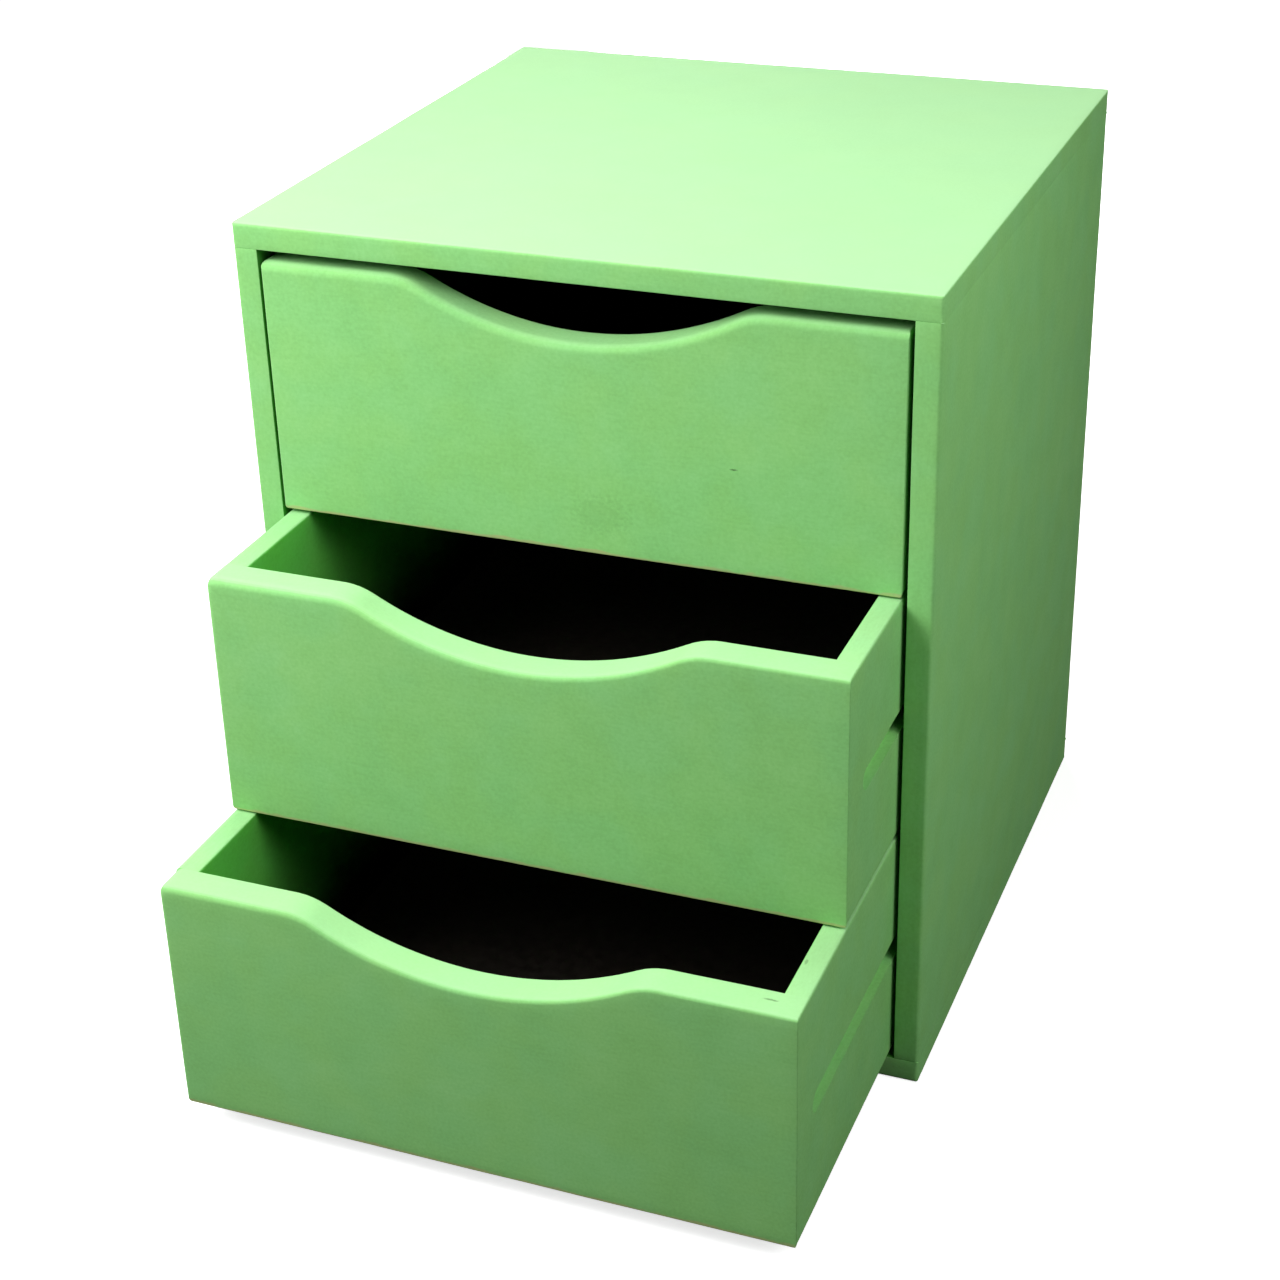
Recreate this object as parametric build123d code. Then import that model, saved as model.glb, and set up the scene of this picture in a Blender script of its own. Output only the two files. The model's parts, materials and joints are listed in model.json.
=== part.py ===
"""Tabletop chest of three inset drawers on wooden runners. Lengths in millimetres, +Z up.

The origin is the centre of the base, on the surface that the chest stands on. The front faces -Y.
"""
import os

from build123d import *

# Case
case_width = 250.0
case_depth = 248.0
case_height = 302.0
side_thickness = 9.0
top_thickness = 9.0
base_thickness = 9.0
case_ease = 1.2

# Back sheet, set in a rebate round the case's back edges
back_thickness = 4.0
back_lap = 5.0
back_recess = 1.0
back_play = 0.3

# Room round the drawers
drawer_side_gap = 1.3
drawer_floor_gap = 1.0
drawer_gap = 0.8
drawer_head_gap = 4.2
drawer_back_gap = 4.0

# How far each drawer stands out
top_pull = 0.0
middle_pull = 57.6
bottom_pull = 108.7

# Drawer front with its finger scoop
front_thickness = 12.0
front_corner = 3.0
front_round = 4.0
front_ease = 1.4
scoop_width = 136.0
scoop_depth = 16.8
scoop_shoulder = 25.0

# Drawer sides, back and bottom sheet
drawer_side_thickness = 9.0
drawer_back_thickness = 9.0
drawer_side_ease = 0.8
sheet_thickness = 3.0
sheet_raise = 6.0
sheet_bite = 4.0
sheet_play = 0.2

# Runners and the grooves that ride on them
runner_height = 7.8
runner_bite = 3.5
runner_play = 0.35
runner_face_play = 0.5
runner_nose_play = 0.3
runner_back_gap = 2.0
groove_stop = 4.0

# Dowels
dowel_diameter = 4.0
dowel_chamfer = 0.5
dowel_play = 0.05
dowel_end_play = 0.5
case_dowel_bite = 6.0
case_dowel_reach = 11.0
front_dowel_bite = 7.0
front_dowel_reach = 12.0
back_dowel_bite = 3.5
back_dowel_reach = 10.0
case_dowel_shares = (0.12, 0.5, 0.88)
front_dowel_shares = (0.2, 0.8)
back_dowel_shares = (0.3, 0.82)

# Headed pins
pin_diameter = 1.2
pin_head_diameter = 2.4
pin_head_thickness = 0.5
pin_play = 0.03
back_pin_length = 13.0
runner_pin_length = 11.0
sheet_pin_length = 12.0
back_pin_shares = (-0.42, -0.14, 0.14, 0.42)
runner_pin_shares = (0.08, 0.5, 0.92)
sheet_pin_shares = (-0.4, 0.0, 0.4)

# How far every cut runs past the face that it opens
overrun = 2.0

# Sizes that follow
opening_width = case_width - 2 * side_thickness
opening_floor = base_thickness
opening_ceiling = case_height - top_thickness
case_front = -case_depth / 2
case_back = case_depth / 2
back_face = case_back - back_recess
back_inner_face = back_face - back_thickness

drawer_names = ("bottom", "middle", "top")
drawer_pulls = {"bottom": bottom_pull, "middle": middle_pull, "top": top_pull}
drawer_room = opening_ceiling - opening_floor - drawer_floor_gap - drawer_head_gap
drawer_pitch = (drawer_room + drawer_gap) / len(drawer_names)
drawer_height = drawer_pitch - drawer_gap
drawer_width = opening_width - 2 * drawer_side_gap
drawer_length = back_inner_face - case_front - drawer_back_gap
drawer_inner_width = drawer_width - 2 * drawer_side_thickness
drawer_back_front = drawer_length - drawer_back_thickness

sheet_top = sheet_raise + sheet_thickness
sheet_width = drawer_inner_width + 2 * sheet_bite
groove_level = drawer_height / 2
groove_height = runner_height + 2 * runner_play
groove_depth = runner_bite + runner_face_play
groove_nose = front_thickness + groove_stop
runner_thickness = drawer_side_gap + runner_bite
runner_nose = groove_nose + runner_nose_play
runner_end = back_inner_face - case_front - runner_back_gap


def block(low_x, high_x, low_y, high_y, low_z, high_z):
    """Box between two corners."""
    corner = (Align.MIN, Align.MIN, Align.MIN)
    return Pos(low_x, low_y, low_z) * Box(high_x - low_x, high_y - low_y, high_z - low_z, align=corner)


def rod(diameter, length):
    """Round rod along +Z that starts at the origin."""
    return Cylinder(diameter / 2, length, align=(Align.CENTER, Align.CENTER, Align.MIN))


def rail(height, depth, nose, end):
    """Bar along Y with a half-round nose, depth along +X, centred on Z = 0."""
    radius = height / 2
    bar = block(0, depth, nose + radius, end, -radius, radius)
    return bar + Pos(0, nose + radius, 0) * Rot(0, 90, 0) * rod(height, depth)


def dowel(bite, reach):
    """Dowel along Z that goes bite below and reach above the joint plane, free at both ends."""
    low_end = dowel_end_play - bite
    length = bite + reach - 2 * dowel_end_play
    return Pos(0, 0, low_end) * chamfer(rod(dowel_diameter, length).edges(), dowel_chamfer)


def dowel_hole(bite, reach):
    """Hole for a dowel, to both ends of its bite and reach."""
    return Pos(0, 0, -bite) * rod(dowel_diameter + 2 * dowel_play, bite + reach)


def pin(length):
    """Headed pin along +Z with the top of its head at the origin."""
    return rod(pin_head_diameter, pin_head_thickness) + rod(pin_diameter, length)


def pin_hole(length):
    """Hole for a headed pin, with the head let in."""
    head = rod(pin_head_diameter + 2 * pin_play, pin_head_thickness + pin_play)
    return head + rod(pin_diameter + 2 * pin_play, length + pin_play)


def shank_hole(length):
    """Hole for the pin's shank alone, where its head stands on the face."""
    return rod(pin_diameter + 2 * pin_play, length + pin_play)


def copies(places, shape):
    """Group of separate copies of a shape, one at every place."""
    return Compound([place * shape for place in places])


def cut_all(solid, places, tool):
    """Solid with the tool cut out at every place."""
    for place in places:
        solid = solid - place * tool
    return solid


# Case joints: dowels stand across the planes where the sides meet the base and the top
case_dowel_places = []
for share in case_dowel_shares:
    for hand in (1, -1):
        across = hand * (opening_width + side_thickness) / 2
        along = case_front + share * case_depth
        case_dowel_places.append(Pos(across, along, opening_floor))
        case_dowel_places.append(Pos(across, along, opening_ceiling) * Rot(180, 0, 0))
case_dowel_hole = dowel_hole(case_dowel_bite, case_dowel_reach)

# Back sheet and its pins
pocket_half = opening_width / 2 + back_lap
pocket_low = opening_floor - back_lap
pocket_high = opening_ceiling + back_lap
back_pocket = block(-pocket_half, pocket_half, back_inner_face, case_back + overrun, pocket_low, pocket_high)

back_pin_row = opening_width / 2 + back_lap / 2
back_pin_column = (pocket_high - pocket_low - back_lap) / 2
back_centre = (pocket_high + pocket_low) / 2
back_pin_spots = []
for share in back_pin_shares:
    for hand in (1, -1):
        back_pin_spots.append((hand * back_pin_row, back_centre + share * (pocket_high - pocket_low)))
        back_pin_spots.append((share * opening_width, back_centre + hand * back_pin_column))
back_pin_places = [Pos(x, back_face + pin_head_thickness, z) * Rot(90, 0, 0) for x, z in back_pin_spots]

# Runner places, on the right-hand side of the case
drawer_levels = {}
for step, name in enumerate(drawer_names):
    drawer_levels[name] = opening_floor + drawer_floor_gap + step * drawer_pitch
runner_face = drawer_width / 2 - runner_bite


def runner_place(name):
    """Place of a right-hand runner."""
    return Pos(runner_face, case_front, drawer_levels[name] + groove_level)


runner_pin_spots = []
for share in runner_pin_shares:
    runner_pin_spots.append(Pos(0, runner_nose + share * (runner_end - runner_nose), 0) * Rot(0, 90, 0))


def pinned_runner():
    """Right-hand runner at the origin with its pin holes."""
    bar = rail(runner_height, runner_thickness, runner_nose, runner_end)
    return cut_all(bar, runner_pin_spots, pin_hole(runner_pin_length))


def on_left(shape):
    """Mirror image of a right-hand piece."""
    return mirror(shape, about=Plane.YZ)


# Case boards
def eased(board, plain_faces):
    """Board with every edge rounded but those of the plain faces."""
    kept = [edge for face in plain_faces for edge in face.edges()]
    rounded = [edge for edge in board.edges() if not any(edge.is_same(other) for other in kept)]
    return fillet(rounded, case_ease)


def top_board():
    """Top board, over both sides."""
    half = case_width / 2
    board = block(-half, half, case_front, case_back, opening_ceiling, case_height)
    board = eased(board, [board.faces().sort_by(Axis.Z)[0]]) - back_pocket
    board = cut_all(board, case_dowel_places, case_dowel_hole)
    return cut_all(board, back_pin_places, shank_hole(back_pin_length))


def base_board():
    """Base board, under both sides."""
    half = case_width / 2
    board = block(-half, half, case_front, case_back, 0, base_thickness)
    board = eased(board, [board.faces().sort_by(Axis.Z)[-1]]) - back_pocket
    board = cut_all(board, case_dowel_places, case_dowel_hole)
    return cut_all(board, back_pin_places, shank_hole(back_pin_length))


def side_board():
    """Right-hand side board, between the base and the top."""
    half = case_width / 2
    board = block(opening_width / 2, half, case_front, case_back, opening_floor, opening_ceiling)
    outer = board.edges().filter_by(Axis.Z).group_by(Axis.X)[-1]
    board = fillet(outer, case_ease) - back_pocket
    board = cut_all(board, case_dowel_places, case_dowel_hole)
    board = cut_all(board, back_pin_places, shank_hole(back_pin_length))
    for name in drawer_names:
        spots = [runner_place(name) * spot for spot in runner_pin_spots]
        board = cut_all(board, spots, shank_hole(runner_pin_length))
    return board


def back_sheet():
    """Thin back sheet, loose in its pocket by the play."""
    half = pocket_half - back_play
    sheet = block(-half, half, back_inner_face, back_face, pocket_low + back_play, pocket_high - back_play)
    return cut_all(sheet, back_pin_places, shank_hole(back_pin_length))


# Drawer pieces, in the drawer's own frame: front face on Y = 0, bottom edge on Z = 0
def front_dowel_places():
    """Places of the dowels between the front and the sides, pointing into the sides."""
    across = (drawer_width - drawer_side_thickness) / 2
    spots = [(hand * across, share) for hand in (1, -1) for share in front_dowel_shares]
    return [Pos(x, front_thickness, share * drawer_height) * Rot(-90, 0, 0) for x, share in spots]


def back_dowel_places():
    """Places of the dowels between the back and the sides, pointing into the back."""
    depth = drawer_back_front + drawer_back_thickness / 2
    spots = [(hand, share) for hand in (1, -1) for share in back_dowel_shares]
    inner = drawer_inner_width / 2
    return [Pos(hand * inner, depth, share * drawer_height) * Rot(0, -90 * hand, 0) for hand, share in spots]


def sheet_pin_places():
    """Places of the pins that hold the bottom sheet up to the back."""
    depth = drawer_back_front + drawer_back_thickness / 2
    low = sheet_raise - pin_head_thickness
    return [Pos(share * drawer_inner_width, depth, low) for share in sheet_pin_shares]


def sheet_groove():
    """Room for the bottom sheet, cut from the front and both sides."""
    half = sheet_width / 2
    low = sheet_raise - sheet_play
    high = sheet_top + sheet_play
    return block(-half, half, front_thickness - sheet_bite, drawer_length + overrun, low, high)


def front_face():
    """Outline of the drawer front with the scoop between two round shoulders."""
    half = drawer_width / 2
    scoop_half = scoop_width / 2
    floor = drawer_height - scoop_depth
    bowl = (scoop_half ** 2 + scoop_depth ** 2) / (2 * scoop_depth) - scoop_shoulder
    shoulder_centre = Vector(scoop_half, drawer_height - scoop_shoulder)
    bowl_centre = Vector(0, floor + bowl)
    meet = shoulder_centre + (bowl_centre - shoulder_centre) * (scoop_shoulder / (scoop_shoulder + bowl))
    top_right = (half, drawer_height)
    top_left = (-half, drawer_height)
    lip_right = (scoop_half, drawer_height)
    lip_left = (-scoop_half, drawer_height)
    meet_right = (meet.X, meet.Y)
    meet_left = (-meet.X, meet.Y)
    outline = [
        Line(top_left, lip_left),
        TangentArc(lip_left, meet_left, tangent=(1, 0)),
        ThreePointArc(meet_left, (0, floor), meet_right),
        TangentArc(lip_right, meet_right, tangent=(-1, 0)),
        Line(lip_right, top_right),
        Line(top_right, (half, front_corner)),
        TangentArc((half, front_corner), (half - front_corner, 0), tangent=(0, -1)),
        Line((half - front_corner, 0), (front_corner - half, 0)),
        TangentArc((front_corner - half, 0), (-half, front_corner), tangent=(-1, 0)),
        Line((-half, front_corner), top_left),
    ]
    return make_face(outline)


def drawer_front():
    """Front board: scooped, its top front edge well rounded and its other front edges eased."""
    board = extrude(Plane.XZ * front_face(), amount=-front_thickness)
    rim_level = drawer_height - scoop_depth - front_round
    outline = board.faces().sort_by(Axis.Y)[0].edges()
    board = fillet([edge for edge in outline if edge.center().Z > rim_level], front_round)
    outline = board.faces().sort_by(Axis.Y)[0].edges()
    board = fillet([edge for edge in outline if edge.center().Z < rim_level], front_ease)
    board = board - sheet_groove()
    return cut_all(board, front_dowel_places(), dowel_hole(front_dowel_bite, front_dowel_reach))


def drawer_side():
    """Right-hand side board with the runner groove outside and the sheet groove inside."""
    outer = drawer_width / 2
    inner = drawer_inner_width / 2
    board = block(inner, outer, front_thickness, drawer_length, 0, drawer_height)
    board = fillet(board.edges().filter_by(Axis.Y).group_by(Axis.Z)[-1], drawer_side_ease)
    groove = rail(groove_height, groove_depth + overrun, groove_nose, drawer_length + overrun)
    board = board - Pos(outer - groove_depth, 0, groove_level) * groove - sheet_groove()
    board = cut_all(board, front_dowel_places(), dowel_hole(front_dowel_bite, front_dowel_reach))
    return cut_all(board, back_dowel_places(), dowel_hole(back_dowel_bite, back_dowel_reach))


def drawer_back():
    """Back board, between the sides and above the bottom sheet."""
    half = drawer_inner_width / 2
    board = block(-half, half, drawer_back_front, drawer_length, sheet_top, drawer_height)
    board = fillet(board.edges().filter_by(Axis.X).group_by(Axis.Z)[-1], drawer_side_ease)
    board = cut_all(board, back_dowel_places(), dowel_hole(back_dowel_bite, back_dowel_reach))
    return cut_all(board, sheet_pin_places(), shank_hole(sheet_pin_length))


def bottom_sheet():
    """Thin bottom sheet, in the grooves of the front and sides and under the back."""
    half = sheet_width / 2 - sheet_play
    front_edge = front_thickness - sheet_bite + sheet_play
    sheet = block(-half, half, front_edge, drawer_length, sheet_raise, sheet_top)
    return cut_all(sheet, sheet_pin_places(), shank_hole(sheet_pin_length))


def drawer_pieces():
    """Every piece of one drawer by its short name."""
    side = drawer_side()
    front_dowels = [place * dowel(front_dowel_bite, front_dowel_reach) for place in front_dowel_places()]
    back_dowels = [place * dowel(back_dowel_bite, back_dowel_reach) for place in back_dowel_places()]
    return {
        "front": drawer_front(),
        "right_side": side,
        "left_side": on_left(side),
        "back": drawer_back(),
        "bottom": bottom_sheet(),
        "dowels": Compound(front_dowels + back_dowels),
        "bottom_pins": copies(sheet_pin_places(), pin(sheet_pin_length)),
    }


def build():
    """Every node of the chest by its name, where it stands."""
    side = side_board()
    nodes = {
        "top_panel": top_board(),
        "bottom_panel": base_board(),
        "right_side_panel": side,
        "left_side_panel": on_left(side),
        "back_panel": back_sheet(),
        "case_dowels": copies(case_dowel_places, dowel(case_dowel_bite, case_dowel_reach)),
        "back_panel_pins": copies(back_pin_places, pin(back_pin_length)),
    }
    runner = pinned_runner()
    runner_pins = []
    for name in drawer_names:
        nodes[f"{name}_right_runner"] = runner_place(name) * runner
        nodes[f"{name}_left_runner"] = on_left(runner_place(name) * runner)
        for spot in runner_pin_spots:
            right_pin = runner_place(name) * spot * pin(runner_pin_length)
            runner_pins += [right_pin, on_left(right_pin)]
    nodes["runner_pins"] = Compound(runner_pins)
    pieces = drawer_pieces()
    for name in drawer_names:
        place = Pos(0, case_front - drawer_pulls[name], drawer_levels[name])
        for piece, shape in pieces.items():
            nodes[f"{name}_drawer_{piece}"] = place * shape
    return nodes


os.makedirs("parts", exist_ok=True)
for node, shape in build().items():
    export_step(shape, f"parts/{node}.step")
    print(node, round(shape.volume, 1))
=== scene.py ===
"""Looks of a tabletop chest of three drawers in brushed green paint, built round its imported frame.

Lengths are metres. The frame's origin is the centre of the base, the front faces -Y and +Z is up.
"""
import json
import logging
import math
from dataclasses import dataclass, field
from enum import Enum
from itertools import product
from typing import Callable, Optional, Sequence, Union

import bmesh
import bpy
from mathutils import Matrix, Vector, noise


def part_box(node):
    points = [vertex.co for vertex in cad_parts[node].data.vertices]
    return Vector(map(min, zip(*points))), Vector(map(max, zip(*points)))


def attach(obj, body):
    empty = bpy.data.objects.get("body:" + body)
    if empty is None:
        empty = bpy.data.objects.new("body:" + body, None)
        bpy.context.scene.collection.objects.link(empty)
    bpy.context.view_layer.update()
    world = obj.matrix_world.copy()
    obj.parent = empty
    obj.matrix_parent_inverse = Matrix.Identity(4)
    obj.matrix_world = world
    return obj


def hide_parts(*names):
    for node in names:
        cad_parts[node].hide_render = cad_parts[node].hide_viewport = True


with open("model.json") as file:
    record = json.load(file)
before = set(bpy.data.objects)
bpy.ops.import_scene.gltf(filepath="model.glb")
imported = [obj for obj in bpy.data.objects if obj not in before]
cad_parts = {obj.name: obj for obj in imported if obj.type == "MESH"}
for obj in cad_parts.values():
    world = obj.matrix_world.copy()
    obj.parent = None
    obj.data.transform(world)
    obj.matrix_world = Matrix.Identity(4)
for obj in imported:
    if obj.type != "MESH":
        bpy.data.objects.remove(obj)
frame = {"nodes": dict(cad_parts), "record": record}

log = logging.getLogger("chest")
MM = 0.001
NOISE_SPAN = (0.3, 0.7)
NOISE_MIDDLE = 0.5
WHITE = (1.0, 1.0, 1.0, 1.0)
PIN_WAY = "pin_way"
Colour = tuple[float, float, float]
Triple = tuple[float, float, float]
Span = tuple[float, float]
Socket = bpy.types.NodeSocket
Source = Union[Socket, float]
Wires = dict[Union[str, int], object]


class Side(Enum):
    """Faces of a board, as the axis that they lie across and their end of it."""

    LEFT = (0, -1)
    RIGHT = (0, 1)
    FRONT = (1, -1)
    BACK = (1, 1)
    FOOT = (2, -1)
    TOP = (2, 1)


class Stroke(Enum):
    """Way that the brush or the grain runs, as an axis."""

    ACROSS = 0
    INWARD = 1
    UPWARD = 2


class Hand(Enum):
    """Left or right half of the chest, with its sign on X."""

    LEFT = -1
    RIGHT = 1


EdgeEases = dict[frozenset[Side], float]


def edge(first: Side, second: Side) -> frozenset[Side]:
    """Names the edge where two faces meet."""
    return frozenset((first, second))


def linear(colour: Colour) -> tuple[float, ...]:
    """Turns a display colour into the linear one that shaders take.

    Args:
        colour: red, green and blue as seen, from 0 to 1.

    Returns:
        The same colour in linear light, with an alpha of 1.
    """
    low_end, slope, offset, power = 0.04045, 12.92, 0.055, 2.4
    parts = [c / slope if c <= low_end else ((c + offset) / (1 + offset)) ** power for c in colour]
    return (*parts, 1.0)


@dataclass(frozen=True)
class Grain:
    """Noise in a finish: size of a grain, finer layers on it, shift of the pattern, and size along the stroke."""

    size: float
    detail: float
    seed: float
    along: Optional[float] = None

    def sizes(self, stroke: Stroke) -> list[float]:
        """Size of a grain along X, Y and Z."""
        return [self.along if self.along and way is stroke else self.size for way in Stroke]


class NodeBench:
    """Lays out and wires the nodes of one tree."""

    # A Mix node has sockets for every kind of value. These are its share, its two colours and their mix.
    MIX_INPUTS = (0, 6, 7)
    MIX_RESULT = 2

    def __init__(self, tree: bpy.types.NodeTree) -> None:
        """Starts with a shader or geometry tree."""
        self.tree = tree

    def add(self, kind: str, wires: Optional[Wires] = None, **settings: object) -> bpy.types.Node:
        """Adds a node.

        Args:
            kind: the node's type name.
            wires: what goes into its inputs, as for wire.
            settings: the node's own properties.

        Returns:
            The new node.
        """
        node = self.tree.nodes.new(kind)
        for name, value in settings.items():
            setattr(node, name, value)
        self.wire(node, wires or {})
        return node

    def wire(self, node: bpy.types.Node, wires: Wires) -> None:
        """Links sockets to a node's inputs, or sets the inputs to plain values.

        Args:
            node: the node.
            wires: sockets or plain values by the input's name or number.
        """
        for name, source in wires.items():
            if isinstance(source, Socket):
                self.tree.links.new(source, node.inputs[name])
            else:
                node.inputs[name].default_value = source

    def spot(self) -> Socket:
        """Coordinates on the piece."""
        return self.add("ShaderNodeTexCoord").outputs["Object"]

    def axes(self, vector: Socket) -> bpy.types.NodeOutputs:
        """Parts of a vector along X, Y and Z."""
        return self.add("ShaderNodeSeparateXYZ", {"Vector": vector}).outputs

    def length(self, vector: Socket) -> Socket:
        """Length of a vector."""
        return self.add("ShaderNodeVectorMath", {"Vector": vector}, operation="LENGTH").outputs["Value"]

    def sum(self, operation: str, *terms: Source, clamp: bool = False) -> Socket:
        """Does one sum on numbers.

        Args:
            operation: the Math node's operation.
            terms: its one, two or three terms.
            clamp: whether the result is kept from 0 to 1.

        Returns:
            The socket with the result.
        """
        wires = dict(enumerate(terms))
        return self.add("ShaderNodeMath", wires, operation=operation, use_clamp=clamp).outputs[0]

    def swing(self, wave: Socket, share: Source, middle: Source) -> Socket:
        """Lets noise swing a number to both sides.

        Args:
            wave: the noise.
            share: how far the number swings for the noise's whole range.
            middle: the number.

        Returns:
            The socket with the result.
        """
        return self.sum("MULTIPLY_ADD", self.sum("SUBTRACT", wave, NOISE_MIDDLE), share, middle)

    def blend(self, first: Socket, second: Socket, share: float) -> Socket:
        """Blends two numbers.

        Args:
            first: one number.
            second: the other number.
            share: how much of the first, from 0 to 1.

        Returns:
            The socket with the result.
        """
        return self.sum("MULTIPLY_ADD", first, share, self.sum("MULTIPLY", second, 1 - share))

    def ease(self, value: Source, start: float, end: float, low: float = 0.0, high: float = 1.0) -> Socket:
        """Maps a number smoothly from one range to another and holds it at both ends.

        Args:
            value: the number.
            start: where it begins to count.
            end: where it counts in full.
            low: the result at the start.
            high: the result at the end.

        Returns:
            The socket with the result.
        """
        wires = {"Value": value, "From Min": start, "From Max": end, "To Min": low, "To Max": high}
        return self.add("ShaderNodeMapRange", wires, interpolation_type="SMOOTHSTEP").outputs["Result"]

    def mix(self, share: Source, first: object, second: object, blend: str = "MIX") -> Socket:
        """Mixes two colours.

        Args:
            share: how much of the second, from 0 to 1.
            first: a socket or a linear colour.
            second: a socket or a linear colour.
            blend: the way of mixing.

        Returns:
            The socket with the mixed colour.
        """
        wires = dict(zip(self.MIX_INPUTS, (share, first, second)))
        return self.add("ShaderNodeMix", wires, data_type="RGBA", blend_type=blend).outputs[self.MIX_RESULT]

    def ramp(self, tone: Socket, levels: Triple, colours: Sequence[Colour]) -> Socket:
        """Turns a tone into a colour.

        Args:
            tone: the tone.
            levels: three tones, from low to high.
            colours: the display colour at each.

        Returns:
            The socket with the colour.
        """
        node = self.add("ShaderNodeValToRGB", {"Fac": tone})
        elements = node.color_ramp.elements
        low, middle, high = zip(levels, map(linear, colours))
        for element, stop in zip(elements, (low, high)):
            element.position, element.color = stop
        elements.new(middle[0]).color = middle[1]
        return node.outputs["Color"]

    def grain(self, spot: Socket, grain: Grain, stroke: Stroke = Stroke.UPWARD) -> Socket:
        """Makes noise.

        Args:
            spot: the coordinates to read.
            grain: what the noise is like.
            stroke: the way that its grains lie.

        Returns:
            The socket with the noise, about NOISE_MIDDLE on average.
        """
        scale = [1 / size for size in grain.sizes(stroke)]
        moved = self.add("ShaderNodeMapping", {"Vector": spot, "Scale": scale, "Location": (grain.seed,) * 3})
        wires = {"Vector": moved.outputs["Vector"], "Scale": 1.0, "Detail": grain.detail}
        return self.add("ShaderNodeTexNoise", wires).outputs["Fac"]

    def bump(self, height: Socket, depth: float, strength: float) -> Socket:
        """Normals of a surface with a fine relief."""
        wires = {"Height": height, "Distance": depth, "Strength": strength}
        return self.add("ShaderNodeBump", wires).outputs["Normal"]


def new_material(name: str) -> tuple[bpy.types.Material, NodeBench, bpy.types.Node]:
    """Starts a node material.

    Args:
        name: the material's name.

    Returns:
        The material, a bench on its tree, and its main shader node.
    """
    material = bpy.data.materials.new(name)
    material.use_nodes = True
    return material, NodeBench(material.node_tree), material.node_tree.nodes["Principled BSDF"]


@dataclass(frozen=True)
class Mark:
    """Small blemish in a finish, an ellipsoid in the frame."""

    centre: Triple
    reach: Triple
    depth: float


@dataclass(frozen=True)
class Coat:
    """How one piece was painted.

    Its top is what looks up above the crown. There the paint is paled as painted light by one share, and the
    board's grain shows by speckle, both from 0 to 1. The inside face takes a painted shade that keeps a share of
    each colour. Where ends are given, that face darkens as painted shade towards near-black between these two
    levels. A rubbed foot is the level of a lower front arris that is rubbed thin.
    """

    stroke: Stroke
    fade: float
    speckle: float
    crown: float
    inside: Side
    painted_inside_shade: Colour
    marks: Sequence[Mark] = ()
    ends: Optional[Span] = None
    rubbed_foot: Optional[float] = None


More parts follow.
